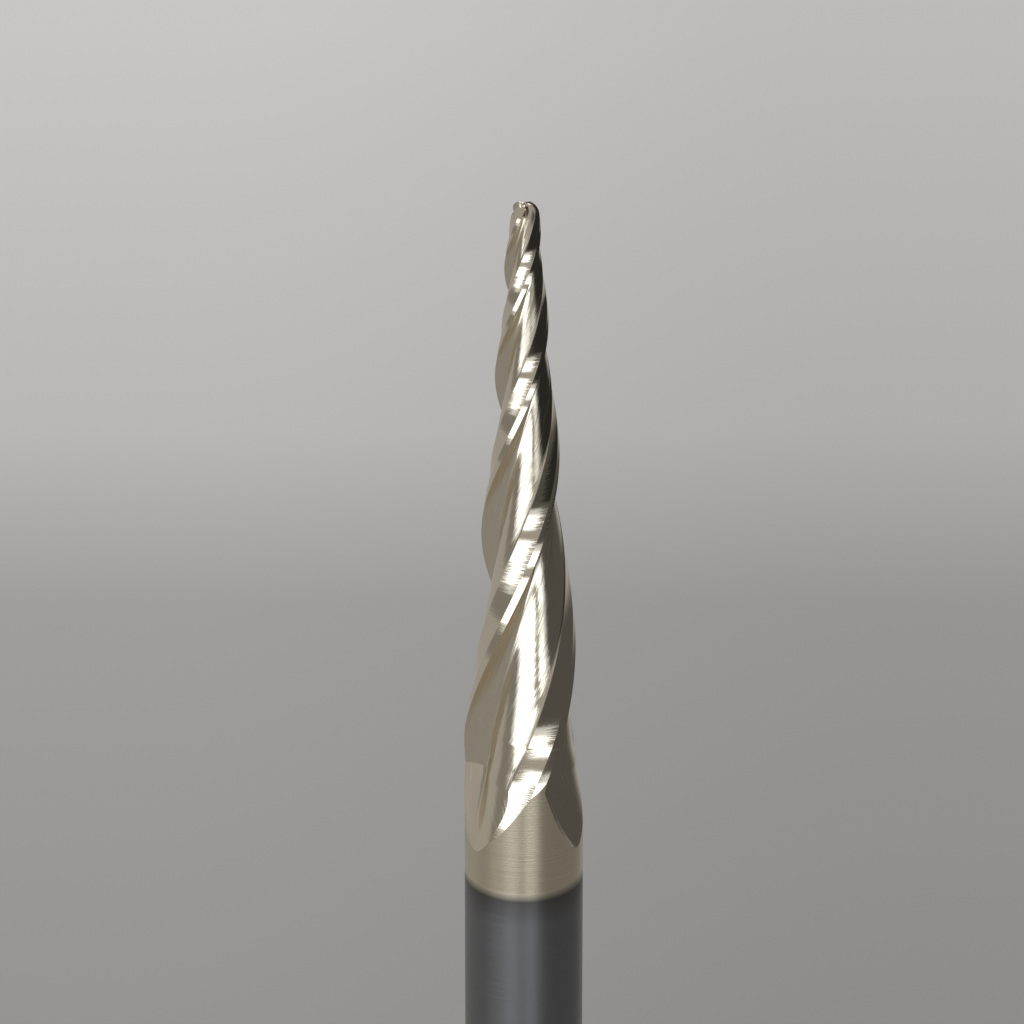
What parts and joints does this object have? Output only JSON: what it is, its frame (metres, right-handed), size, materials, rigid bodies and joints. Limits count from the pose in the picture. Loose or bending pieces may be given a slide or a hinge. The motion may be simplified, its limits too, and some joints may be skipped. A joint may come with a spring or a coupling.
{
  "type": "tapered ball nose end mill",
  "caption": "Tapered ball nose end mill: a straight round shank and a slender tapered end with helical flutes, relieved lands and a ball tip, for carving in relief on a router or mill.",
  "frame": {"origin": "centre of the flat end of the shank", "axes": "+Z along the tool's axis, from the shank's flat end to the ball tip; -Y is the side that the picture shows"},
  "size_m": [0.0064, 0.0064, 0.0762],
  "materials": {
    "coated_carbide": "ground, with a thin pale gold nitride coating on the fluted end"
  },
  "bodies": {
    "root": {"end_mill": "coated_carbide"}
  },
  "joints": []
}
